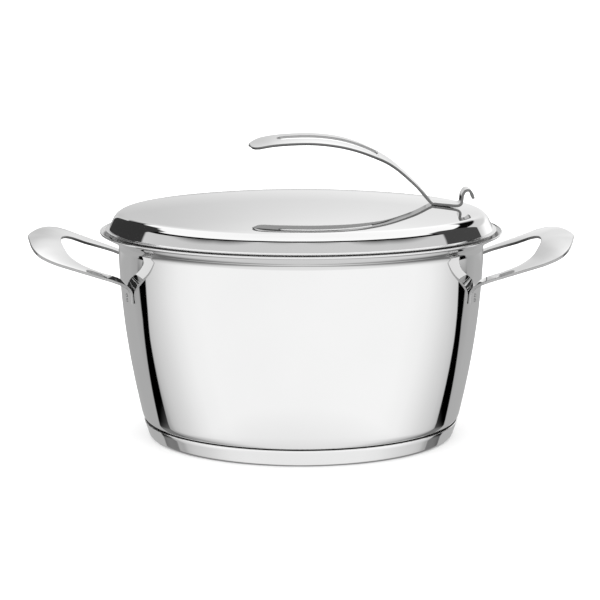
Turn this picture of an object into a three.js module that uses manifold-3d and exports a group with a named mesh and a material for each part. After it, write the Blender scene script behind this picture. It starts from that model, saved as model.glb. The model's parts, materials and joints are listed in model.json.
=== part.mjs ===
// Stainless steel soup tureen: a flared pot with a sandwich base, two looped side handles,
// and a domed lid with a cantilevered strap handle that ends in a hook.
// Millimetres, +Z up. The origin is the middle of the base underside. The side handles lie on the X axis.

import * as THREE from "three";
import { mergeVertices } from "three/addons/utils/BufferGeometryUtils.js";
import Module from "manifold-3d";

const wasm = await Module();
wasm.setup();

// ---- driving dimensions ----
const ROUND_STEPS = 60;              // facets round the pot and the lid

// pot wall: the outer radius bulges gently between the base and the waist
const WAIST_RADIUS = 121;
const WAIST_HEIGHT = 118;
const WALL_SPAN = 106.8;
const WALL_TAPER = 4.5;
const WALL_BULGE = 11.2;
const POT_SHEET = 0.9;
const POT_FLOOR = 7;                 // underside of the pot's own floor
const POT_CORNER = 12;               // radius between floor and wall
const FLARE_START = 126.4;
const FLARE_RADIUS = 6.5;
const FLARE_ANGLE = 63;              // how far the flare turns outwards, degrees
const LIP_RADIUS = 133.4;
const LIP_ROLL = 1.4;                // the last turn up at the lip

// sandwich base
const CAP_SHEET = 0.8;
const CAP_FLAT = 99.4;
const CAP_CORNER = 3;
const CAP_TOP = 10.6;
const CAP_TOP_RADIUS = 105.2;
const CORE_TOP = 7;
const CORE_GAP = 0.1;

// lid
const LID_SHEET = 0.8;
const LID_CREST = 159;
const LID_DOME = 0.0006;             // dome drop per square millimetre of radius
const SHOULDER_RADIUS = 9;
const LID_WALL_LEAN = 24.8;          // degrees from vertical
const LID_WALL_FOOT = [127.2, 139.4];
const BRIM_RADIUS = 129.5;           // a narrow flat brim that hangs just above the pot's lip
const BRIM_TOP = 139.2;
const SKIRT_RADIUS = 126.5;          // the short skirt inside that centres the lid in the flare
const SKIRT_FOOT = 134.6;

// side handles, one pressed sheet each
const HANDLE_SHEET = 1.9;
const WALL_GAP = 0.3;
const TAB_BOTTOM = 95.7;
const TAB_TOP = 102;
const TAB_OUTER_ANGLE = 26.2;        // degrees round the wall from the X axis
const TAB_INNER_ANGLE = 18.6;
const GRIP_CROWN = 1.2;

// lid handle, one strap
const STRAP_SHEET = 1.8;
const GRIP_HALF_WIDTH = 17;
const NECK_HALF_WIDTH = 9;
const GRIP_ROLL = 6.2;               // the grip leans by this many degrees about its own length
const STRAP_CROWN = 0.8;
const SLOT_START = -16;
const SLOT_END = 56;
const SLOT_WIDTH = 10.5;

const rad = THREE.MathUtils.degToRad;
const lerp = THREE.MathUtils.lerp;
const smooth = THREE.MathUtils.smoothstep;

// ---- helpers ----
function steel(color, roughness) {
  return new THREE.MeshStandardMaterial({ color, roughness, metalness: 1 });
}

// outer radius of the pot wall at height z
function wallRadius(z) {
  const u = (WAIST_HEIGHT - z) / WALL_SPAN;
  return z >= WAIST_HEIGHT ? WAIST_RADIUS : WAIST_RADIUS - WALL_TAPER * u - WALL_BULGE * u * u;
}

// points of an arc in the (radius, height) plane, angles in degrees
function arc(cx, cy, r, from, to, steps) {
  const points = [];
  for (let i = 0; i <= steps; i++) {
    const a = rad(lerp(from, to, i / steps));
    points.push(new THREE.Vector2(cx + r * Math.cos(a), cy + r * Math.sin(a)));
  }
  return points;
}

// closes a sheet profile: the given face, then the same face set in by the sheet's thickness.
// side = 1 puts the second face on the left of the direction of travel.
function sheetProfile(face, thickness, side) {
  const back = face.map((p, i) => {
    const before = face[Math.max(i - 1, 0)];
    const after = face[Math.min(i + 1, face.length - 1)];
    const along = after.clone().sub(before).normalize();
    if (i === 0) along.set(Math.sign(along.x), 0);
    return new THREE.Vector2(p.x - side * thickness * along.y, p.y + side * thickness * along.x);
  });
  back[0].x = 0;
  return [...face, ...back.reverse()];
}

// a body of revolution about +Z from a profile of (radius, height) points that goes up the outside
function revolve(profile) {
  const geometry = new THREE.LatheGeometry(profile, ROUND_STEPS);
  geometry.rotateX(Math.PI / 2);
  return geometry;
}

// a bent sheet: place(u, v) is its middle surface, half the thickness goes to each side.
// +u turned onto +v gives the upper face.
function bentSheet(place, stepsU, stepsV, thickness) {
  const nudge = 1e-4;
  const point = (u, v) => place(THREE.MathUtils.clamp(u, 0, 1), THREE.MathUtils.clamp(v, 0, 1));
  const positions = [];
  for (const side of [0.5, -0.5]) {
    for (let i = 0; i <= stepsU; i++) {
      for (let j = 0; j <= stepsV; j++) {
        const u = i / stepsU;
        const v = j / stepsV;
        const du = point(u + nudge, v).sub(point(u - nudge, v));
        const dv = point(u, v + nudge).sub(point(u, v - nudge));
        const normal = du.cross(dv).normalize();
        const p = point(u, v).addScaledVector(normal, side * thickness);
        positions.push(p.x, p.y, p.z);
      }
    }
  }
  const layer = (stepsU + 1) * (stepsV + 1);
  const at = (side, i, j) => side * layer + i * (stepsV + 1) + j;
  const index = [];
  const quad = (a, b, c, d) => index.push(a, b, c, a, c, d);
  for (let i = 0; i < stepsU; i++) {
    for (let j = 0; j < stepsV; j++) {
      quad(at(0, i, j), at(0, i + 1, j), at(0, i + 1, j + 1), at(0, i, j + 1));
      quad(at(1, i, j), at(1, i, j + 1), at(1, i + 1, j + 1), at(1, i + 1, j));
    }
    quad(at(1, i, 0), at(1, i + 1, 0), at(0, i + 1, 0), at(0, i, 0));
    quad(at(0, i, stepsV), at(0, i + 1, stepsV), at(1, i + 1, stepsV), at(1, i, stepsV));
  }
  for (let j = 0; j < stepsV; j++) {
    quad(at(0, 0, j), at(0, 0, j + 1), at(1, 0, j + 1), at(1, 0, j));
    quad(at(1, stepsU, j), at(1, stepsU, j + 1), at(0, stepsU, j + 1), at(0, stepsU, j));
  }
  const geometry = new THREE.BufferGeometry();
  geometry.setAttribute("position", new THREE.Float32BufferAttribute(positions, 3));
  geometry.setIndex(index);
  return geometry;
}

function toManifold(geometry) {
  const bare = geometry.clone();
  bare.deleteAttribute("normal");
  bare.deleteAttribute("uv");
  const merged = mergeVertices(bare, 1e-4);
  return new wasm.Manifold(new wasm.Mesh({
    numProp: 3,
    vertProperties: new Float32Array(merged.attributes.position.array),
    triVerts: new Uint32Array(merged.index.array),
  }));
}

function toGeometry(solid) {
  const mesh = solid.getMesh();
  const geometry = new THREE.BufferGeometry();
  geometry.setAttribute("position", new THREE.BufferAttribute(mesh.vertProperties, 3));
  geometry.setIndex(new THREE.BufferAttribute(mesh.triVerts, 1));
  return geometry;
}

function named(name, geometry, material) {
  const mesh = new THREE.Mesh(geometry, material);
  mesh.name = name;
  return mesh;
}

// ---- pot ----
function potBody() {
  const cornerEnd = -13.6;           // degrees: the corner meets the leaning wall here
  const cornerZ = POT_FLOOR + POT_CORNER;
  const joinZ = cornerZ + POT_CORNER * Math.sin(rad(cornerEnd));
  const cornerR = wallRadius(joinZ) - POT_CORNER * Math.cos(rad(cornerEnd));
  const face = [new THREE.Vector2(0, POT_FLOOR), ...arc(cornerR, cornerZ, POT_CORNER, -90, cornerEnd, 4)];
  const wallSteps = 7;
  for (let i = 1; i <= wallSteps; i++) {
    const z = lerp(joinZ, WAIST_HEIGHT, i / wallSteps);
    face.push(new THREE.Vector2(wallRadius(z), z));
  }
  face.push(...arc(WAIST_RADIUS + FLARE_RADIUS, FLARE_START, FLARE_RADIUS, 180, 180 - FLARE_ANGLE, 4));
  const flareEnd = face[face.length - 1];
  const slope = Math.tan(rad(90 - FLARE_ANGLE));
  const lipZ = flareEnd.y + slope * (LIP_RADIUS - LIP_ROLL - flareEnd.x);
  face.push(new THREE.Vector2(LIP_RADIUS - LIP_ROLL, lipZ));
  face.push(new THREE.Vector2(LIP_RADIUS - 0.4, lipZ + 0.5));
  face.push(new THREE.Vector2(LIP_RADIUS + 0.1, lipZ + 1.5));
  return revolve(sheetProfile(face, POT_SHEET, 1));
}

function capFace() {
  const foot = arc(CAP_FLAT, CAP_CORNER, CAP_CORNER, -90, -16, 3);
  return [new THREE.Vector2(0, 0), ...foot, new THREE.Vector2(CAP_TOP_RADIUS, CAP_TOP)];
}

function baseCap() {
  return revolve(sheetProfile(capFace(), CAP_SHEET, 1));
}

// the aluminium core fills the cap up to the pot's floor
function baseCore() {
  const inset = CAP_SHEET + CORE_GAP;
  const cap = capFace();
  const wallFoot = cap[cap.length - 2];
  const lean = (CAP_TOP_RADIUS - wallFoot.x) / (CAP_TOP - wallFoot.y);
  const topRadius = CAP_TOP_RADIUS - lean * (CAP_TOP - CORE_TOP) - inset * Math.hypot(1, lean) - CORE_GAP;
  return revolve([
    new THREE.Vector2(0, inset),
    ...arc(CAP_FLAT, CAP_CORNER, CAP_CORNER - inset - CORE_GAP, -90, -16, 3),
    new THREE.Vector2(topRadius - lean, CORE_TOP - 1),
    new THREE.Vector2(topRadius - 1, CORE_TOP - CORE_GAP),
    new THREE.Vector2(0, CORE_TOP - CORE_GAP),
  ]);
}

// ---- lid ----
// from the crest out over the dome and the rounded shoulder, down the wall, to its foot
function lidFace() {
  const lean = rad(LID_WALL_LEAN);
  const [footR, footZ] = LID_WALL_FOOT;
  const offset = (r) => {
    const slope = 2 * LID_DOME * r;
    const scale = SHOULDER_RADIUS / Math.hypot(1, slope);
    return [r - slope * scale, LID_CREST - LID_DOME * r * r - scale];
  };
  // radius where the dome hands over to the shoulder: its centre is one shoulder radius inside the wall
  let low = 60;
  let high = 125;
  for (let i = 0; i < 40; i++) {
    const r = (low + high) / 2;
    const [cr, cz] = offset(r);
    const inside = (cr - footR) * Math.cos(lean) + (cz - footZ) * Math.sin(lean) + SHOULDER_RADIUS < 0;
    if (inside) low = r;
    else high = r;
  }
  const domeEdge = low;
  const [cr, cz] = offset(domeEdge);
  const face = [];
  const domeSteps = 5;
  for (let i = 0; i <= domeSteps; i++) {
    const r = domeEdge * i / domeSteps;
    face.push(new THREE.Vector2(r, LID_CREST - LID_DOME * r * r));
  }
  const startAngle = 90 - THREE.MathUtils.radToDeg(Math.atan(2 * LID_DOME * domeEdge));
  face.push(...arc(cr, cz, SHOULDER_RADIUS, startAngle, LID_WALL_LEAN, 5).slice(1));
  face.push(new THREE.Vector2(footR, footZ));
  return face;
}

function lidShell() {
  const face = lidFace();
  const underside = sheetProfile(face, LID_SHEET, -1).slice(face.length + 1);
  const [footR] = LID_WALL_FOOT;
  const skirtInner = SKIRT_RADIUS - LID_SHEET;
  const wallEnd = underside[0];
  const joinZ = wallEnd.y - (skirtInner - wallEnd.x) / Math.tan(rad(LID_WALL_LEAN));
  const rim = [
    [footR + 0.6, BRIM_TOP],
    [BRIM_RADIUS - 0.4, BRIM_TOP],
    [BRIM_RADIUS, BRIM_TOP - LID_SHEET / 2],
    [BRIM_RADIUS - 0.4, BRIM_TOP - LID_SHEET],
    [SKIRT_RADIUS, BRIM_TOP - LID_SHEET],
    [SKIRT_RADIUS, SKIRT_FOOT],
    [skirtInner, SKIRT_FOOT],
    [skirtInner, joinZ],
  ].map(([r, z]) => new THREE.Vector2(r, z));
  return revolve([...face, ...rim, ...underside].reverse());
}

// ---- side handles ----
// each handle's middle surface runs from one wall tab along a leg, round the grip and back to the other tab
function sideHandle(mirror) {
  const onWall = (angle, z) => {
    const r = wallRadius(z) + WALL_GAP + HANDLE_SHEET / 2;
    return [r * Math.cos(rad(angle)), r * Math.sin(rad(angle)), z];
  };
  // half of each edge, from the tab's foot to the tip on the X axis
  const outerHalf = [
    onWall(TAB_OUTER_ANGLE, TAB_BOTTOM), onWall(TAB_OUTER_ANGLE, TAB_TOP),
    [110.2, 54.8, 105.2], [113.2, 57.4, 108.2], [119.6, 61.6, 111.6], [129.3, 65.1, 115.2],
    [142.5, 67.4, 119.6], [155.8, 69.1, 124.1], [165.5, 66.2, 128.1], [172.2, 53.5, 131.4],
    [177.4, 29.5, 133.7], [181.2, 0, 133.4],
  ];
  const innerHalf = [
    onWall(TAB_INNER_ANGLE, TAB_BOTTOM), onWall(TAB_INNER_ANGLE, TAB_TOP),
    [115.6, 40.8, 106.6], [117.4, 43.8, 110.0], [121.4, 47.8, 112.5], [129.3, 50.3, 115.5],
    [139.5, 47.7, 119.0], [147.2, 41.3, 122.2], [151.8, 34.4, 125.0], [155.4, 24.6, 127.9],
    [158.3, 13, 130.1], [159.4, 0, 130.9],
  ];
  const edge = (half) => {
    const there = half.map(([x, y, z]) => new THREE.Vector3(x, -y, z));
    const back = half.slice(0, -1).reverse().map(([x, y, z]) => new THREE.Vector3(x, y, z));
    return new THREE.CatmullRomCurve3([...there, ...back], false, "catmullrom", 0.5);
  };
  const outer = edge(outerHalf);
  const inner = edge(innerHalf);
  const up = new THREE.Vector3(0, 0, 1);
  const middle = (u, v) => {
    const p = outer.getPoint(u).lerp(inner.getPoint(u), v);
    const grip = smooth(u, 0.15, 0.4) * smooth(1 - u, 0.15, 0.4);
    p.addScaledVector(up, grip * GRIP_CROWN * (1 - (2 * v - 1) ** 2));
    return p;
  };
  const geometry = bentSheet(middle, 52, 4, HANDLE_SHEET);
  if (mirror) geometry.rotateZ(Math.PI);
  return geometry;
}

// ---- lid handle ----
function lidHandle() {
  // middle of the strap seen from the side, from the tip over the arch to the foot and up round the hook
  const foot = LID_CREST - LID_DOME * 96 * 96 + STRAP_SHEET / 2 + WALL_GAP;
  const side = new THREE.CatmullRomCurve3([
    [-34, 193.2], [-18, 196.2], [0, 197.4], [15, 196.9], [30, 194.4], [45, 189.2], [60, 181.3],
    [75, 168.2], [85.4, 156.6], [89, foot + 0.7], [96, foot], [103.2, foot - 0.5], [105.7, foot + 0.7],
    [106.4, foot + 3.4], [106.8, 161], [108.4, 163.8], [110.9, 164.2], [112.9, 161.8], [113.9, 158.8],
  ].map(([x, z]) => new THREE.Vector3(x, 0, z)), false, "centripetal");
  const tipLength = 9;
  const middle = (u, v) => {
    // closer steps at the rounded tip
    const along = u < 0.08 ? 0.08 * (1 - Math.cos(u / 0.08 * Math.PI / 2)) : u;
    const c = side.getPointAt(along);
    const fromTip = c.x - side.points[0].x;
    const round = fromTip < tipLength && u < 0.3 ? Math.sqrt(1 - (1 - fromTip / tipLength) ** 2) : 1;
    const narrowing = smooth(c.x, 20, 72);
    const half = Math.max(round, 0.12) * lerp(GRIP_HALF_WIDTH, NECK_HALF_WIDTH, narrowing);
    const w = 2 * v - 1;
    const flat = u > 0.3 ? smooth(c.x, 45, 88) : 0;
    const lift = (1 - flat) * (STRAP_CROWN * (1 - w * w) + half * w * Math.tan(rad(GRIP_ROLL)));
    return new THREE.Vector3(c.x, half * w, c.z + lift);
  };
  const strap = bentSheet(middle, 60, 4, STRAP_SHEET);
  const outline = new THREE.Shape();
  const r = SLOT_WIDTH / 2;
  outline.absarc(SLOT_START + r, 0, r, Math.PI / 2, 3 * Math.PI / 2, false);
  outline.absarc(SLOT_END - r, 0, r, -Math.PI / 2, Math.PI / 2, false);
  const cutter = new THREE.ExtrudeGeometry(outline, { depth: 60, bevelEnabled: false, curveSegments: 8 });
  cutter.translate(0, 0, 170);
  return toGeometry(toManifold(strap).subtract(toManifold(cutter)));
}

// ---- assembly ----
const polished = 0xd4d6d8;
const pot = new THREE.Group();
pot.add(named("pot_body", potBody(), steel(polished, 0.08)));
pot.add(named("base_core", baseCore(), steel(0xb9bcc0, 0.45)));
pot.add(named("base_cap", baseCap(), steel(0xcfd1d3, 0.12)));
pot.add(named("side_handle_right", sideHandle(false), steel(polished, 0.1)));
pot.add(named("side_handle_left", sideHandle(true), steel(polished, 0.1)));

const lid = new THREE.Group();
lid.add(named("lid_shell", lidShell(), steel(polished, 0.08)));
lid.add(named("lid_handle", lidHandle(), steel(0xc9cbcd, 0.12)));

const group = new THREE.Group();
group.add(pot, lid);
export default group;
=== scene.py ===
import json
import math

import bmesh
import bpy
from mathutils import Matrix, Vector


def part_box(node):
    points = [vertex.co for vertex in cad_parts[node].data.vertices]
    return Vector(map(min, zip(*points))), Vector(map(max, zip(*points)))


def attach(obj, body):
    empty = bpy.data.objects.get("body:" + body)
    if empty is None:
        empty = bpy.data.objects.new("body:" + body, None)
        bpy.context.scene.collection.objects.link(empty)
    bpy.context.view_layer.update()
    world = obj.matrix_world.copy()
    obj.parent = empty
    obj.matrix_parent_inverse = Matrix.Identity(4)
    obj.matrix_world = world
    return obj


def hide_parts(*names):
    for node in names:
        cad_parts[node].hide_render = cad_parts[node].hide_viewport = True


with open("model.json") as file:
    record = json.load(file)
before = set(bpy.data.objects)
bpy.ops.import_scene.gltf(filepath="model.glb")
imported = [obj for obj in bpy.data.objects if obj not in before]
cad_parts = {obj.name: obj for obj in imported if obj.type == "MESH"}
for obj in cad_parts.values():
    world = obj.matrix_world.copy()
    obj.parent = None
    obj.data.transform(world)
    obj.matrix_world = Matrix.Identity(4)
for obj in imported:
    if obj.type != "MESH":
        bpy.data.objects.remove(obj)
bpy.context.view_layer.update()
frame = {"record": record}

MM = 0.001
ROUND_STEPS = 288                       # facets round the pot and the lid
EDGE_STEPS = 6                          # facets round a sheet's free edge in a turned profile
QUARTER_STEPS = 3                       # facets round each corner of a bent sheet's free edge
ON_AXIS = 1e-7                          # a profile point closer to the axis than this lies on it

# ---------------------------------------------------------------- sizes, in metres and degrees
pot_low, pot_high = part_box("pot_body")
_, cap_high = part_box("base_cap")
lid_low, lid_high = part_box("lid_shell")

WAIST_RADIUS = 121 * MM
WAIST_HEIGHT = 118 * MM
WALL_SPAN = 106.8 * MM
WALL_TAPER = 4.5 * MM
WALL_BULGE = 11.2 * MM
POT_SHEET = 0.9 * MM
POT_FLOOR = pot_low.z
POT_CORNER = 12 * MM
CORNER_END = -13.6                      # where the corner meets the leaning wall
FLARE_START = 126.4 * MM
FLARE_RADIUS = 6.5 * MM
FLARE_ANGLE = 63
LIP_RADIUS = pot_high.x - 0.1 * MM      # just inside the CAD lip
LIP_ROLL = 1.5 * MM                     # the lip turns up on this radius
LIP_END = -8

CAP_SHEET = 0.8 * MM
CAP_FLAT = 99.4 * MM
CAP_CORNER = 3 * MM
CAP_TOP = 10.6 * MM
CAP_TOP_RADIUS = cap_high.x

LID_SHEET = 0.8 * MM
LID_CREST = lid_high.z
LID_DOME = 0.0006 / MM                  # the dome drops by this much times the radius squared
SHOULDER_RADIUS = 9 * MM
LID_WALL_LEAN = 24.8
LID_WALL_FOOT = (127.2 * MM, 139.4 * MM)
BRIM_RADIUS = lid_high.x
BRIM_TOP = 139.2 * MM
BRIM_FILLET = 0.35 * MM
SKIRT_RADIUS = 126.5 * MM
SKIRT_FOOT = lid_low.z

HANDLE_SHEET = 1.9 * MM
HANDLE_EDGE = 0.55 * MM                 # how far its free edges are rounded
WALL_GAP = 0.3 * MM
TAB_BOTTOM = 95.7 * MM
TAB_TOP = 102 * MM
TAB_OUTER_ANGLE = 26.2
TAB_INNER_ANGLE = 18.6
GRIP_CROWN = 1.2 * MM
WELD_ANGLE = 22.4
WELD_HEIGHTS = (97.4 * MM, 100.6 * MM)
WELD_STEPS = 20
WELD_PROFILE = ((1.2, -0.3), (1.15, 0.08), (1.0, 0.13), (0.7, 0.05), (0.35, -0.02))  # radius, height in mm

STRAP_SHEET = 1.75 * MM
STRAP_EDGE = 0.25 * MM
GRIP_HALF_WIDTH = 17 * MM
NECK_HALF_WIDTH = 9 * MM
NARROWING = (20 * MM, 72 * MM)          # from grip to neck, along x
FLATTENING = (45 * MM, 88 * MM)         # the grip's roll and crown die out over this, along x
GRIP_ROLL = 6.2
STRAP_CROWN = 0.8 * MM
SLOT_START = -16 * MM
SLOT_END = 56 * MM
SLOT_WIDTH = 10.5 * MM
TIP_LENGTH = 9 * MM
TIP_WIDTH_SHARE = 0.05                  # the blunt end of the tip, as a share of the grip's width
STRAP_FOOT_X = 96 * MM                  # the middle of the strap's foot on the dome


# ---------------------------------------------------------------- small helpers
def lerp(a, b, t):
    return a + (b - a) * t


def smooth(x, low, high):
    """0 below low and 1 above high, with a soft run between."""
    t = min(max((x - low) / (high - low), 0.0), 1.0)
    return t * t * (3 - 2 * t)


def arc(cx, cz, r, start, end, steps):
    """Points of an arc in the (radius, height) plane, angles in degrees."""
    angles = [math.radians(lerp(start, end, i / steps)) for i in range(steps + 1)]
    return [(cx + r * math.cos(a), cz + r * math.sin(a)) for a in angles]


def spline(points, t):
    """A uniform Catmull-Rom curve through the points, t from 0 to 1."""
    last = len(points) - 1
    x = min(max(t, 0.0), 1.0) * last
    i = min(int(x), last - 1)
    f = x - i
    p1, p2 = points[i], points[i + 1]
    p0 = points[i - 1] if i > 0 else p1 * 2 - p2
    p3 = points[i + 2] if i + 2 <= last else p2 * 2 - p1
    return 0.5 * (p1 * 2 + (p2 - p0) * f + (p0 * 2 - p1 * 5 + p2 * 4 - p3) * f * f
                  + (p1 * 3 - p0 - p2 * 3 + p3) * f ** 3)


def by_length(points, count):
    """The same curve stepped evenly along its length."""
    steps = 2000
    fine = [spline(points, i / steps) for i in range(steps + 1)]
    run = [0.0]
    for a, b in zip(fine, fine[1:]):
        run.append(run[-1] + (b - a).length)
    result, k = [], 0
    for i in range(count + 1):
        want = run[-1] * i / count
        while k < steps - 1 and run[k + 1] < want:
            k += 1
        share = (want - run[k]) / max(run[k + 1] - run[k], 1e-12)
        result.append(fine[k].lerp(fine[k + 1], share))
    return result


def wall_radius(z):
    """Outside radius of the pot's wall: straight above the waist, drawn in below it."""
    if z >= WAIST_HEIGHT:
        return WAIST_RADIUS
    u = (WAIST_HEIGHT - z) / WALL_SPAN
    return WAIST_RADIUS - WALL_TAPER * u - WALL_BULGE * u * u


def new_object(name, bm):
    """Turns the bmesh into a smooth-shaded object in the scene, its faces looking outward."""
    bmesh.ops.recalc_face_normals(bm, faces=bm.faces)
    mesh = bpy.data.meshes.new(name)
    bm.to_mesh(mesh)
    bm.free()
    mesh.shade_smooth()
    piece = bpy.data.objects.new(name, mesh)
    bpy.context.scene.collection.objects.link(piece)
    return piece


def sheet_loop(face, thickness, side):
    """Profile of a pressed sheet: the face, a round free edge, and the face set in by the thickness. With
    side 1 the metal lies to the left of the face, walked from the axis out, and with -1 to the right."""
    points = [Vector(p) for p in face]
    back = []
    for i, p in enumerate(points):
        along = (points[min(i + 1, len(points) - 1)] - points[max(i - 1, 0)]).normalized()
        if i == 0:
            along = Vector((1, 0))
        back.append(p + Vector((-along.y, along.x)) * side * thickness)
    back[0].x = 0
    middle = (points[-1] + back[-1]) / 2
    spoke = points[-1] - middle
    nose = [middle + Vector((spoke.x * math.cos(a) - spoke.y * math.sin(a),
                             spoke.x * math.sin(a) + spoke.y * math.cos(a)))
            for a in (side * math.pi * k / EDGE_STEPS for k in range(1, EDGE_STEPS))]
    return points + nose + back[::-1]


def revolve(name, profile, satin_from=None):
    """A closed body of revolution whose profile starts and ends on the axis. From profile point satin_from
    on, the faces take the second material."""
    bm = bmesh.new()
    rings = []
    for r, z in profile:
        if r < ON_AXIS:
            rings.append([bm.verts.new((0, 0, z))])
            continue
        turn = [2 * math.pi * k / ROUND_STEPS for k in range(ROUND_STEPS)]
        rings.append([bm.verts.new((r * math.cos(a), r * math.sin(a), z)) for a in turn])
    for number, (low, high) in enumerate(zip(rings, rings[1:])):
        inside = satin_from is not None and number >= satin_from
        for k in range(ROUND_STEPS):
            n = (k + 1) % ROUND_STEPS
            corners = [low[k % len(low)], low[n % len(low)], high[n % len(high)], high[k % len(high)]]
            bm.faces.new(list(dict.fromkeys(corners))).material_index = int(inside)
    return new_object(name, bm)


# ---------------------------------------------------------------- pot
def pot_face():
    """The outside of the pot from the middle of its floor to the lip, as (radius, height) points."""
    floor_steps, corner_steps, wall_steps, flare_steps, slope_steps, lip_steps = 6, 16, 30, 14, 4, 8
    corner_z = POT_FLOOR + POT_CORNER
    join_z = corner_z + POT_CORNER * math.sin(math.radians(CORNER_END))
    corner_r = wall_radius(join_z) - POT_CORNER * math.cos(math.radians(CORNER_END))
    face = [(corner_r * k / floor_steps, POT_FLOOR) for k in range(floor_steps)]
    face += arc(corner_r, corner_z, POT_CORNER, -90, CORNER_END, corner_steps)
    for k in range(1, wall_steps + 1):
        z = lerp(join_z, WAIST_HEIGHT, k / wall_steps)
        face.append((wall_radius(z), z))
    flare_centre = WAIST_RADIUS + FLARE_RADIUS
    face += arc(flare_centre, FLARE_START, FLARE_RADIUS, 180, 180 - FLARE_ANGLE, flare_steps)
    slope = math.tan(math.radians(90 - FLARE_ANGLE))
    flare_r, flare_z = face[-1]
    turn_r = LIP_RADIUS - LIP_ROLL * (1 - math.sin(math.radians(90 - FLARE_ANGLE)))
    turn_z = flare_z + slope * (turn_r - flare_r)
    for k in range(1, slope_steps):
        face.append((lerp(flare_r, turn_r, k / slope_steps), lerp(flare_z, turn_z, k / slope_steps)))
    turn_centre_z = turn_z + LIP_ROLL * math.sin(math.radians(FLARE_ANGLE))
    face += arc(LIP_RADIUS - LIP_ROLL, turn_centre_z, LIP_ROLL, -FLARE_ANGLE, LIP_END, lip_steps)
    return face


def make_pot_body():
    face = pot_face()
    bright_inside = 10                   # profile points past the face that are still polished
    return revolve("pot_shell_fine", sheet_loop(face, POT_SHEET, 1), satin_from=len(face) + bright_inside)


def make_base_cap():
    corner_end = -16
    flat_steps, corner_steps, wall_steps = 5, 10, 4
    foot = arc(CAP_FLAT, CAP_CORNER, CAP_CORNER, -90, corner_end, corner_steps)
    flat = [(CAP_FLAT * k / flat_steps, 0.0) for k in range(flat_steps)]
    foot_r, foot_z = foot[-1]
    wall = [(lerp(foot_r, CAP_TOP_RADIUS, k / wall_steps), lerp(foot_z, CAP_TOP, k / wall_steps))
            for k in range(1, wall_steps + 1)]
    return revolve("base_cap_fine", sheet_loop(flat + foot + wall, CAP_SHEET, 1))


# ---------------------------------------------------------------- lid
def lid_face():
    """The outside of the lid from its crest over the shoulder to the foot of its wall."""
    dome_steps, shoulder_steps = 30, 24
    lean = math.radians(LID_WALL_LEAN)
    foot_r, foot_z = LID_WALL_FOOT

    def shoulder_centre(r):
        """Centre of the shoulder's arc when it leaves the dome at this radius."""
        slope = 2 * LID_DOME * r
        scale = SHOULDER_RADIUS / math.hypot(1, slope)
        return r - slope * scale, LID_CREST - LID_DOME * r * r - scale

    low, high = 60 * MM, 125 * MM        # halved until the shoulder's arc just touches the wall's line
    for _ in range(40):
        r = (low + high) / 2
        cr, cz = shoulder_centre(r)
        inside = (cr - foot_r) * math.cos(lean) + (cz - foot_z) * math.sin(lean) + SHOULDER_RADIUS < 0
        low, high = (r, high) if inside else (low, r)
    dome_edge = low
    cr, cz = shoulder_centre(dome_edge)
    dome = [dome_edge * k / dome_steps for k in range(dome_steps + 1)]
    face = [(r, LID_CREST - LID_DOME * r ** 2) for r in dome]
    start = 90 - math.degrees(math.atan(2 * LID_DOME * dome_edge))
    face += arc(cr, cz, SHOULDER_RADIUS, start, LID_WALL_LEAN, shoulder_steps)[1:]
    top_r, top_z = face[-1]
    # points crowded at the foot keep the wall's shading straight down to it
    face += [(lerp(top_r, foot_r, t), lerp(top_z, foot_z, t)) for t in (0.5, 0.93, 0.98, 1)]
    return face


def make_lid_shell():
    """The lid's wall ends on a flat brim flange, from whose inner side a skirt hangs into the pot."""
    face = lid_face()
    underside = sheet_loop(face, LID_SHEET, -1)[len(face) + EDGE_STEPS:]
    skirt_inner = SKIRT_RADIUS - LID_SHEET
    join_z = underside[0].y - (skirt_inner - underside[0].x) / math.tan(math.radians(LID_WALL_LEAN))
    half = LID_SHEET / 2
    fillet_steps, fold_steps = 5, 10
    rim = arc(face[-1][0] + 2 * BRIM_FILLET, BRIM_TOP + BRIM_FILLET, BRIM_FILLET, 200, 270, fillet_steps)
    rim += arc(BRIM_RADIUS - half, BRIM_TOP - half, half, 90, -90, fold_steps)
    rim += [(SKIRT_RADIUS + half, BRIM_TOP - LID_SHEET), (SKIRT_RADIUS, BRIM_TOP - LID_SHEET - half)]
    satin_from = len(face) + len(rim) + 1                # the foot of the skirt and all that is inside it
    rim += arc(SKIRT_RADIUS - half, SKIRT_FOOT + half, half, 0, -180, fold_steps)
    rim += [(skirt_inner, join_z)]
    return revolve("lid_shell_fine", face + rim + underside, satin_from)


# ---------------------------------------------------------------- bent sheets
BROAD_FACE, CUT_EDGE, GROUND_EDGE = 0, 1, 2              # material numbers of a bent sheet


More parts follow.
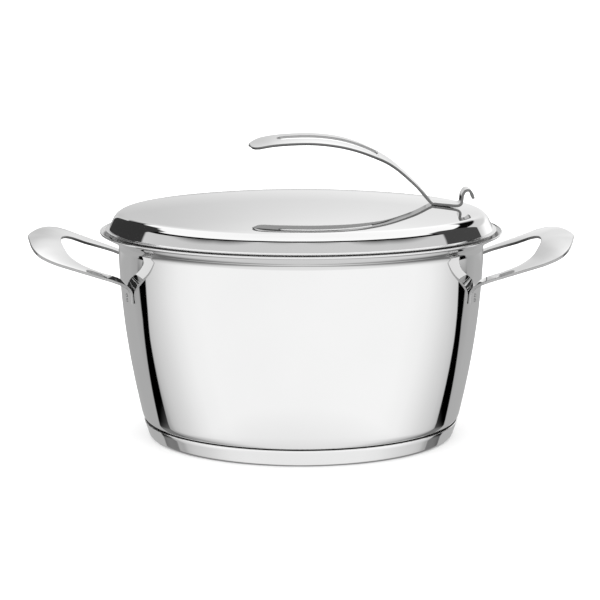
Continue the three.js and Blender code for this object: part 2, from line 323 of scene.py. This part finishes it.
def bent_sheet(name, place, rows, columns, thickness, edge_radius):
    """A closed sheet round the middle surface place(row, column), its free edges rounded over.
    columns holds one band, or two bands with a slot between them that close up where their edges meet."""
    bm = bmesh.new()
    placed = {}
    points_per_metre = 1e7               # points that fall on the same step of this grid are one vertex
    edge_room = 0.45                     # a rounded edge takes up this share of the first column at most

    def vertex(point):
        key = tuple(round(c * points_per_metre) for c in point)
        if key not in placed:
            placed[key] = bm.verts.new(point)
        return placed[key]

    def face(corners, finish=BROAD_FACE):
        corners = list(dict.fromkeys(corners))
        if len(corners) > 2 and not bm.faces.get(corners):
            bm.faces.new(corners).material_index = finish

    def square_edge(i, c):
        normal = sheet_normal(place, i, c, rows)
        return [vertex(place(i, c) + normal * side * thickness / 2) for side in (1, -1)]

    def round_edge(i, c, neighbour):
        normal = sheet_normal(place, i, c, rows)
        out = place(i, c) - place(i, neighbour)
        radius = min(edge_radius, edge_room * out.length)
        out.normalize()
        ring = []
        for side, start in ((1, 90), (-1, 0)):
            centre = place(i, c) - out * radius + normal * side * (thickness / 2 - radius)
            for k in range(QUARTER_STEPS + 1):
                angle = math.radians(start - 90 * k / QUARTER_STEPS)
                spoke = out * radius * math.cos(angle) + normal * radius * math.sin(angle)
                ring.append(vertex(centre + spoke))
        return ring

    for number, band in enumerate(columns):
        last = len(band) - 1
        slot_side = None if len(columns) == 1 else (last, 0)[number]
        rounded = {j: inner for j, inner in ((0, 1), (last, last - 1)) if j != slot_side}
        grid = []                        # for each row and column, the points from upper to lower face
        for i in range(rows + 1):
            grid.append([round_edge(i, c, band[rounded[j]]) if j in rounded else square_edge(i, c)
                         for j, c in enumerate(band)])
        for here, there in zip(grid, grid[1:]):
            for j in range(last):
                for side in (0, -1):
                    face((here[j][side], there[j][side], there[j + 1][side], here[j + 1][side]))
            for j in (0, last):
                ground = j == slot_side or (slot_side is None and j == 0)
                for k in range(len(here[j]) - 1):
                    corners = here[j][k], there[j][k], there[j][k + 1], here[j][k + 1]
                    face(corners, GROUND_EDGE if ground else CUT_EDGE)
        for line in (grid[0], grid[-1]):
            for j in range(last):
                face((line[j][0], line[j + 1][0], line[j + 1][-1], line[j][-1]), CUT_EDGE)
            for j in (0, last):
                face(line[j], CUT_EDGE)
    # a wall that two bands share is inside the metal: its edges on both faces of the sheet have three faces
    inner_walls = [f for f in bm.faces if sum(len(e.link_faces) > 2 for e in f.edges) > 1]
    bmesh.ops.delete(bm, geom=inner_walls, context="FACES")
    piece = new_object(name, bm)
    piece.data.set_sharp_from_angle(angle=math.radians(45))
    return piece


def sheet_normal(place, i, c, rows):
    """The middle surface's normal, from a small step along the row and across it."""
    row_step, column_step = 0.02, 0.002
    du = place(min(i + row_step, rows), c) - place(max(i - row_step, 0), c)
    dv = place(i, c + column_step) - place(i, c - column_step)
    return du.cross(dv).normalized()


def side_handle(name, mirror):
    """A loop of sheet between two edge curves. Each curve is given from one tab to the end of the grip, and
    the other half is its mirror image."""
    rows, columns = 220, 14
    grip_ends = (0.15, 0.4)              # the grip's crown grows over this stretch from each tab

    def on_wall(angle, z):
        r = wall_radius(z) + WALL_GAP + HANDLE_SHEET / 2
        return Vector((r * math.cos(math.radians(angle)), r * math.sin(math.radians(angle)), z))

    def mm(*triples):
        return [Vector(t) * MM for t in triples]

    outer_half = [on_wall(TAB_OUTER_ANGLE, TAB_BOTTOM), on_wall(TAB_OUTER_ANGLE, TAB_TOP)] + mm(
        (110.2, 54.8, 105.2), (113.2, 57.4, 108.2), (119.6, 61.6, 111.6), (129.3, 65.1, 115.2),
        (142.5, 67.4, 119.6), (155.8, 69.1, 124.1), (165.5, 66.2, 128.1), (172.2, 53.5, 131.4),
        (177.4, 29.5, 133.7), (181.2, 0, 133.4))
    inner_half = [on_wall(TAB_INNER_ANGLE, TAB_BOTTOM), on_wall(TAB_INNER_ANGLE, TAB_TOP)] + mm(
        (115.6, 40.8, 106.6), (117.4, 43.8, 110.0), (121.4, 47.8, 112.5), (129.3, 50.3, 115.5),
        (139.5, 47.7, 119.0), (147.2, 41.3, 122.2), (151.8, 34.4, 125.0), (155.4, 24.6, 127.9),
        (158.3, 13, 130.1), (159.4, 0, 130.9))
    sign = -1 if mirror else 1

    def edge(half):
        there = [Vector((sign * p.x, -sign * p.y, p.z)) for p in half]
        back = [Vector((sign * p.x, sign * p.y, p.z)) for p in half[-2::-1]]
        return there + back

    outer, inner = edge(outer_half), edge(inner_half)
    across = [0, 0.05] + [k / columns for k in range(1, columns)] + [0.95, 1]

    def place(i, v):
        u = i / rows
        p = spline(outer, u).lerp(spline(inner, u), v)
        grip = smooth(u, *grip_ends) * smooth(1 - u, *grip_ends)
        return p + Vector((0, 0, grip * GRIP_CROWN * (1 - (2 * v - 1) ** 2)))

    return bent_sheet(name, place, rows, [across], HANDLE_SHEET, HANDLE_EDGE)


def make_lid_handle():
    """The strap: a side view curve from the tip of the grip over the foot to the end of the hook, with a
    width at each point. It is two bands, with the grip's slot between them."""
    foot = (LID_CREST - LID_DOME * STRAP_FOOT_X ** 2 + STRAP_SHEET / 2 + WALL_GAP) / MM
    side = [Vector((x, 0, z)) * MM for x, z in (
        (-34, 193.2), (-18, 196.2), (0, 197.4), (15, 196.9), (30, 194.4), (45, 189.2), (60, 181.3),
        (75, 168.2), (85.4, 156.6), (89, foot + 0.7), (STRAP_FOOT_X / MM, foot), (103.2, foot - 0.5),
        (105.7, foot + 0.7), (106.4, foot + 3.4), (106.8, 161), (108.4, 163.8), (110.9, 164.2),
        (112.9, 161.8), (113.9, 158.8))]     # millimetres
    rows = 300
    slot_rows = rows / 2                 # the slot is closed beyond this row
    centre = by_length(side, rows)
    tip_rows, tip_evenness = 24, 0.2     # these rows crowd towards the tip, less so the more even they are

    def on_line(i):
        if i < tip_rows:
            crowded = tip_rows * (1 - math.cos(i / tip_rows * math.pi / 2))
            i = lerp(crowded, i, tip_evenness)
        k = min(int(i), rows - 1)
        return centre[k].lerp(centre[k + 1], i - k)

    def half_width(i):
        x = on_line(i).x
        to_full = max(1 - (x - side[0].x) / TIP_LENGTH, 0)
        tip = max(math.sqrt(max(1 - to_full ** 2, 0)), TIP_WIDTH_SHARE)
        return tip * lerp(GRIP_HALF_WIDTH, NECK_HALF_WIDTH, smooth(x, *NARROWING))

    def slot_share(i):
        """Half the slot's width as a share of half the strap's."""
        x = on_line(i).x
        r = SLOT_WIDTH / 2
        if i > slot_rows or not SLOT_START < x < SLOT_END:
            return 0.0
        inside = min(x - SLOT_START, SLOT_END - x, r)
        return math.sqrt(r * r - (r - inside) ** 2) / half_width(i)

    def place(i, w):
        c = on_line(i)
        half = half_width(i)
        # w is -1 and 1 at the outer edges; the bands reach in to the slot's edge
        w = math.copysign(lerp(slot_share(i), 1, abs(w)), w)
        flat = smooth(c.x, *FLATTENING)
        lift = (1 - flat) * (STRAP_CROWN * (1 - w * w) + half * w * math.tan(math.radians(GRIP_ROLL)))
        return Vector((c.x, half * w, c.z + lift))

    columns, slot_edge = 10, 1e-9        # not quite zero, so that it keeps its sign
    near = [-1, -0.95] + [-1 + k / columns for k in range(1, columns)] + [-slot_edge]
    far = [-x for x in near[::-1]]
    return bent_sheet("lid_handle_fine", place, rows, [near, far], STRAP_SHEET, STRAP_EDGE)


def weld_spots(name):
    """The two small pressed spots where each tab of a side handle is welded to the pot."""
    bm = bmesh.new()
    for end in (0, 180):
        for quarter in (1, -1):
            for z in WELD_HEIGHTS:
                angle = math.radians(end + quarter * WELD_ANGLE)
                out = Vector((math.cos(angle), math.sin(angle), 0))
                across = Vector((-out.y, out.x, 0))
                face = wall_radius(z) + WALL_GAP + HANDLE_SHEET
                rings = []
                for r, height in WELD_PROFILE:
                    ring = []
                    for k in range(WELD_STEPS):
                        turn = 2 * math.pi * k / WELD_STEPS
                        around = across * r * MM * math.cos(turn) + Vector((0, 0, r * MM * math.sin(turn)))
                        ring.append(bm.verts.new(out * (face + height * MM) + around + Vector((0, 0, z))))
                    rings.append(ring)
                for low, high in zip(rings, rings[1:]):
                    for k in range(WELD_STEPS):
                        n = (k + 1) % WELD_STEPS
                        bm.faces.new((low[k], low[n], high[n], high[k]))
                bm.faces.new(rings[-1])
                bm.faces.new(rings[0][::-1])
    return new_object(name, bm)


# ---------------------------------------------------------------- materials
STEEL_GREY = 0.75                       # what polished steel gives back of the light


class NodeMaths:
    """Short spellings for the number nodes of one node tree."""

    def __init__(self, tree):
        self.tree = tree

    def put(self, value, socket):
        """Sets the socket to a number, or links another node's output to it."""
        if isinstance(value, (int, float)):
            socket.default_value = value
        else:
            self.tree.links.new(value, socket)

    def op(self, kind, *values):
        """The output of a Math node of this kind."""
        node = self.tree.nodes.new("ShaderNodeMath")
        node.operation = kind
        for value, socket in zip(values, node.inputs):
            self.put(value, socket)
        return node.outputs[0]

    def curve(self, value, stops):
        """A number that runs through (input, output) stops in straight lines."""
        low, high = stops[0][0], stops[-1][0]
        floor = min(y for _, y in stops)
        span = max(max(y for _, y in stops) - floor, 1e-6)
        node = self.tree.nodes.new("ShaderNodeFloatCurve")
        self.put(self.op("DIVIDE", self.op("SUBTRACT", value, low), high - low), node.inputs[1])
        points = node.mapping.curves[0].points
        for k, (x, y) in enumerate(stops):
            place = ((x - low) / (high - low), (y - floor) / span)
            if k < 1 or k == len(stops) - 1:
                point = points[0 if k < 1 else len(points) - 1]
                point.location = place
            else:
                point = points.new(*place)
            point.handle_type = "VECTOR"
        node.mapping.update()
        return self.op("ADD", self.op("MULTIPLY", node.outputs[0], span), floor)

    def step(self, value, low, high):
        """0 below low, 1 above high, and the other way round when high is below low."""
        node = self.tree.nodes.new("ShaderNodeMapRange")
        node.interpolation_type = "SMOOTHSTEP"
        node.clamp = True
        for socket, number in zip(node.inputs, (value, min(low, high), max(low, high))):
            self.put(number, socket)
        if high < low:
            node.inputs[3].default_value = 1
            node.inputs[4].default_value = 0
        return node.outputs[0]

    def mix(self, share, a, b):
        """a where share is 0, b where it is 1."""
        node = self.tree.nodes.new("ShaderNodeMix")
        for value, socket in zip((share, a, b), (node.inputs[0], node.inputs[2], node.inputs[3])):
            self.put(value, socket)
        return node.outputs[0]


def noise(tree, vector, scale, detail):
    """The output of a Noise Texture, a number from 0 to 1."""
    node = tree.nodes.new("ShaderNodeTexNoise")
    tree.links.new(vector, node.inputs["Vector"])
    node.inputs["Scale"].default_value = scale
    node.inputs["Detail"].default_value = detail
    return node.outputs[0]


def add_bump(tree, height, distance):
    bump = tree.nodes.new("ShaderNodeBump")
    bump.inputs["Distance"].default_value = distance
    tree.links.new(height, bump.inputs["Height"])
    tree.links.new(bump.outputs[0], tree.nodes["Principled BSDF"].inputs["Normal"])


def metal(name, grey, roughness, cloud_scale, line_scale, relief, turned=0.0):
    """A metal finish. cloud_scale sets the soft cloudiness that polishing leaves, line_scale the fine rings
    round the axis, relief their depth in metres, and turned how far the rings draw a highlight out."""
    ring_stretch = 0.003                 # how little the ring noise changes along a ring, in metres a radian
    smoother, rougher = roughness * 0.8, roughness * 1.25
    darker, lighter = grey * 0.985, grey * 1.015
    material = bpy.data.materials.new(name)
    material.use_nodes = True
    tree = material.node_tree
    m = NodeMaths(tree)
    shader = tree.nodes["Principled BSDF"]
    shader.inputs["Metallic"].default_value = 1.0
    coords = tree.nodes.new("ShaderNodeTexCoord").outputs["Object"]
    split = tree.nodes.new("ShaderNodeSeparateXYZ")
    tree.links.new(coords, split.inputs[0])
    x, y, z = split.outputs
    rings = tree.nodes.new("ShaderNodeCombineXYZ")
    radius = m.op("SQRT", m.op("ADD", m.op("MULTIPLY", x, x), m.op("MULTIPLY", y, y)))
    m.put(radius, rings.inputs[0])
    m.put(m.op("MULTIPLY", m.op("ARCTAN2", y, x), ring_stretch), rings.inputs[1])
    m.put(z, rings.inputs[2])
    cloud = noise(tree, coords, cloud_scale, 3)
    lines = noise(tree, rings.outputs[0], line_scale, 2)
    m.put(m.curve(m.mix(0.5, cloud, lines), [(0, smoother), (0.38, smoother), (0.62, rougher), (1, rougher)]),
          shader.inputs["Roughness"])
    m.put(m.curve(cloud, [(0, darker), (0.35, darker), (0.65, lighter), (1, lighter)]),
          shader.inputs["Base Color"])
    add_bump(tree, lines, relief)
    if turned:
        shader.inputs["Anisotropic"].default_value = turned
        tangent = tree.nodes.new("ShaderNodeTangent")
        tangent.direction_type = "RADIAL"
        tangent.axis = "Z"
        tree.links.new(tangent.outputs[0], shader.inputs["Tangent"])
    return material


# name, grey, roughness, cloud_scale, line_scale, relief
mirror_steel = metal("mirror_steel", STEEL_GREY, 0.028, 9, 900, 2e-8)
handle_steel = metal("handle_steel", STEEL_GREY, 0.04, 25, 1400, 2e-8)
cap_steel = metal("turned_cap_steel", 0.8, 0.05, 12, 2600, 6e-8, turned=0.4)
satin_steel = metal("satin_inside_steel", 0.6, 0.3, 14, 2200, 1.2e-6, turned=0.55)
# the cut edges: their rougher finish is their own, their dark grey is painted shade, far darker than steel
# gives back
painted_shade_edge_steel = metal("cut_edge_steel_painted_shade", 0.17, 0.28, 60, 1800, 1.2e-6)
ground_edge_steel = metal("ground_edge_steel", 0.4, 0.25, 60, 1800, 1e-6)
weld_steel = metal("weld_spot_steel", 0.42, 0.2, 300, 2500, 8e-7)
core_metal = metal("pressed_aluminium", 0.62, 0.38, 160, 1500, 2e-6)
sheet_metals = (handle_steel, painted_shade_edge_steel, ground_edge_steel)         # broad faces, cut edge, ground edge


def finish_piece(piece, node, body, slot, *materials):
    """Gives the piece its looks and the body it rides on. node is the CAD node it stands in for, or None for
    an added detail."""
    for material in materials:
        piece.data.materials.append(material)
    if node:
        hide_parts(node)
    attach(piece, body)


slots = {s["node"]: s["material_slot"] for s in frame["record"]["subparts"]}
finish_piece(make_pot_body(), "pot_body", "pot", slots["pot_body"], mirror_steel, satin_steel)
finish_piece(make_base_cap(), "base_cap", "pot", slots["base_cap"], cap_steel)
for hand, mirror in (("right", False), ("left", True)):
    node = "side_handle_" + hand
    finish_piece(side_handle(node + "_fine", mirror), node, "pot", slots[node], *sheet_metals)
finish_piece(make_lid_shell(), "lid_shell", "lid", slots["lid_shell"], mirror_steel, satin_steel)
finish_piece(make_lid_handle(), "lid_handle", "lid", slots["lid_handle"], *sheet_metals)
finish_piece(weld_spots("side_weld_spots"), None, "pot", slots["side_handle_right"], weld_steel)
for material_slot in bpy.data.objects["base_core"].material_slots:
    material_slot.material = core_metal


# ---------------------------------------------------------------- studio
PLAIN_LIGHT = 1.8                       # strength of the white that all but mirror rays see
FLOOR_RADIUS = 6
SOFTBOX_SIZE = 2.4
SOFTBOX_HEIGHT = 2.2
SOFTBOX_WATTS = 12
CAMERA_PLACE = Vector((-0.66, -1430.5, 327.5)) * MM
CAMERA_DOWN = 9.439                     # how far the camera looks below level
CAMERA_LENS = 130.1                     # millimetres, as the sensor's width is
CAMERA_SENSOR = 36
CAMERA_REACH = 30


def light(tone):
    """The light that shows as this tone, 0 to 255, in a polished face."""
    v = tone / 255
    linear = v / 12.92 if v < 0.04045 else ((v + 0.055) / 1.055) ** 2.4          # the sRGB curve
    return linear / STEEL_GREY


def tones(*stops):
    """Stops for NodeMaths.curve, given with tones instead of amounts of light."""
    return [(x, light(tone)) for x, tone in stops]


# Directions round the tureen are in degrees. turn is 0 in front and 180 behind, on either side; rise is 0
# level and 90 overhead; right is 1 on the right and 0 on the left. m.step makes a soft border.
def table_sweep(m, turn, rise, right):
    """A white table sweep: bright in front, darker to the sides and sooner lower down. Near its end, on each
    side, is a dark gap."""
    falls_from = -15                     # below this rise the sweep turns darker sooner
    sooner, gap_later = 0.55, 0.85       # by this much turn for each degree below it
    left_shift, right_shift = 4, -2
    left_gap_end, right_gap_end = 124, 127.6
    gap_top = (-9, -11)
    gap_fades, low_gap = (-23, -30), 0.55                # below this rise only this much of the gap is left
    drop = m.op("MAXIMUM", m.op("SUBTRACT", falls_from, rise), 0)
    lowered = m.op("MULTIPLY", drop, sooner)
    spread = m.op("ADD", m.op("ADD", turn, lowered), m.mix(right, left_shift, right_shift))
    sweep = m.curve(spread, tones((0, 243), (72, 243), (86, 238), (96, 228), (106, 214), (116, 200),
                                  (122, 186), (126, 158), (140, 166), (165, 160), (180, 158)))
    shade = m.curve(rise, [(-90, 0.80), (-52, 0.84), (-42, 0.86), (-34, 1.0), (-9, 1.0)])
    sweep = m.op("MULTIPLY", sweep, shade)
    left_start = m.curve(rise, [(-90, 117.5), (-17.3, 117.5), (-14.7, 115.6), (-12, 114.7), (90, 114.7)])
    right_start = m.curve(rise, [(-90, 120.9), (-17.3, 120.9), (-14.7, 119.6), (-12, 117.3), (90, 117.3)])
    past_start = m.op("SUBTRACT", turn, m.mix(right, left_start, right_start))
    gap_end = m.op("ADD", m.mix(right, left_gap_end, right_gap_end), m.op("MULTIPLY", drop, gap_later))
    past_end = m.op("SUBTRACT", turn, gap_end)
    gap = m.op("MULTIPLY", m.step(past_start, -0.7, 0.7), m.step(past_end, 0.9, -0.9))
    gap = m.op("MULTIPLY", gap, m.step(rise, *gap_top))
    gap = m.op("MULTIPLY", gap, m.mix(m.step(rise, *gap_fades), 1, low_gap))
    return m.op("MULTIPLY", sweep, m.op("SUBTRACT", 1, gap))


def studio_walls(m, turn, rise):
    """Grey walls up to a broad white softbox with a dark rim. They turn white at their foot."""
    foot_border, foot_tone = (10, 4), 250
    softbox_edge = m.curve(turn, [(0, 45.2), (30, 43.6), (60, 37.8), (90, 30.5), (104, 27), (180, 20)])
    above = m.op("SUBTRACT", rise, softbox_edge)
    walls = m.curve(above, tones((-30, 204), (-9, 203), (-2.4, 200), (-1.7, 150), (-1.1, 8), (7.5, 8),
                                 (8.5, 252), (45, 247)))
    return m.mix(m.step(rise, *foot_border), walls, light(foot_tone))


def rear_flag(m, turn, rise, right):
    """1 on the dark flags at the rear quarters, 0 off them."""
    left_start, right_start = 113, 101.5
    right_ends_sooner = 24
    foot_border = (-6, -3)
    past_start = m.op("SUBTRACT", turn, m.mix(right, left_start, right_start))
    reach = m.op("ADD", turn, m.mix(right, 0, right_ends_sooner))
    top = m.curve(reach, [(100, 40), (142, 40), (152, 32), (158, 18), (163, 2), (168, -10)])
    above_top = m.op("SUBTRACT", rise, top)
    flag = m.op("MULTIPLY", m.step(past_start, -1.2, 1.2), m.step(above_top, 1.5, -1.5))
    return m.op("MULTIPLY", flag, m.step(rise, *foot_border))


def studio_backdrop(m, rear_side, rise):
    """The grey backdrop behind, lighter towards the top and to the right. Overhead it is even."""
    evens_out = (30, 60)
    backdrop = m.curve(rise, tones((-10, 20), (-5.5, 20), (-4.2, 150), (-3, 196), (0, 211), (5, 209),
                                   (9, 206), (13, 210), (18, 217), (22, 226), (27, 242), (90, 248)))
    lean = m.curve(rear_side, [(-14, 0.76), (-6, 0.80), (-4, 0.87), (-2, 0.95), (0, 1.0), (3, 1.06),
                               (14, 1.12)])
    return m.op("MULTIPLY", backdrop, m.mix(m.step(rise, *evens_out), lean, 1))


def studio_world():
    """What stands round the tureen, by direction, as polished steel shows it. Only mirrored rays see it, and
    all others see plain white."""
    left_flag_tone, right_flag_tone = 49, 66
    backdrop_border = (24, 14)
    sweep_border = (-9, -7)
    world = bpy.data.worlds.new("studio")
    bpy.context.scene.world = world
    world.use_nodes = True
    tree = world.node_tree
    tree.nodes.clear()
    m = NodeMaths(tree)
    coords = tree.nodes.new("ShaderNodeTexCoord")
    split = tree.nodes.new("ShaderNodeSeparateXYZ")
    tree.links.new(coords.outputs["Generated"], split.inputs[0])
    x, y, z = split.outputs
    to_degrees = 180 / math.pi
    side = m.op("MULTIPLY", m.op("ARCTAN2", x, m.op("MULTIPLY", y, -1)), to_degrees)
    rear_side = m.op("MULTIPLY", m.op("ARCTAN2", x, y), to_degrees)
    turn = m.op("ABSOLUTE", side)
    rise = m.op("MULTIPLY", m.op("ARCSINE", z), to_degrees)
    right = m.step(x, -0.05, 0.05)

    flag = rear_flag(m, turn, rise, right)
    flag_light = m.mix(right, light(left_flag_tone), light(right_flag_tone))
    walls = m.mix(flag, studio_walls(m, turn, rise), flag_light)
    behind = m.step(m.op("ABSOLUTE", rear_side), *backdrop_border)
    open_behind = m.op("MULTIPLY", behind, m.op("SUBTRACT", 1, flag))
    upper = m.mix(open_behind, walls, studio_backdrop(m, rear_side, rise))
    panorama = m.mix(m.step(rise, *sweep_border), table_sweep(m, turn, rise, right), upper)

    sky = tree.nodes.new("ShaderNodeBackground")
    tree.links.new(panorama, sky.inputs[0])
    plain = tree.nodes.new("ShaderNodeBackground")
    plain.inputs[0].default_value = (1, 1, 1, 1)
    plain.inputs[1].default_value = PLAIN_LIGHT
    path = tree.nodes.new("ShaderNodeLightPath")
    choose = tree.nodes.new("ShaderNodeMixShader")
    tree.links.new(path.outputs["Is Glossy Ray"], choose.inputs[0])
    tree.links.new(plain.outputs[0], choose.inputs[1])
    tree.links.new(sky.outputs[0], choose.inputs[2])
    output = tree.nodes.new("ShaderNodeOutputWorld")
    tree.links.new(choose.outputs[0], output.inputs[0])


def make_floor():
    """A pale paper disc. Polished faces don't show it: they show the table sweep instead."""
    bm = bmesh.new()
    bmesh.ops.create_circle(bm, cap_ends=True, segments=96, radius=FLOOR_RADIUS)
    floor = new_object("studio_floor", bm)
    material = bpy.data.materials.new("pale_floor")
    material.use_nodes = True
    tree = material.node_tree
    m = NodeMaths(tree)
    shader = tree.nodes["Principled BSDF"]
    paper = noise(tree, tree.nodes.new("ShaderNodeTexCoord").outputs["Object"], 400, 4)
    m.put(m.curve(paper, [(0, 0.89), (1, 0.91)]), shader.inputs["Base Color"])
    m.put(m.curve(paper, [(0, 0.7), (1, 0.9)]), shader.inputs["Roughness"])
    add_bump(tree, paper, 0.01 * MM)
    floor.data.materials.append(material)
    floor.visible_glossy = False


def make_light():
    data = bpy.data.lights.new("overhead_softbox", "AREA")
    data.shape = "DISK"
    data.size = SOFTBOX_SIZE
    data.energy = SOFTBOX_WATTS
    softbox = bpy.data.objects.new("overhead_softbox", data)
    softbox.location = (0, 0, SOFTBOX_HEIGHT)
    softbox.visible_glossy = False
    bpy.context.scene.collection.objects.link(softbox)


def make_camera():
    data = bpy.data.cameras.new("camera")
    data.lens = CAMERA_LENS
    data.sensor_width = CAMERA_SENSOR
    data.clip_end = CAMERA_REACH
    camera = bpy.data.objects.new("camera", data)
    camera.location = CAMERA_PLACE
    camera.rotation_euler = (math.radians(90 - CAMERA_DOWN), 0, 0)
    bpy.context.scene.collection.objects.link(camera)
    bpy.context.scene.camera = camera


studio_world()
make_floor()
make_light()
make_camera()
bpy.context.scene.view_settings.view_transform = "Standard"
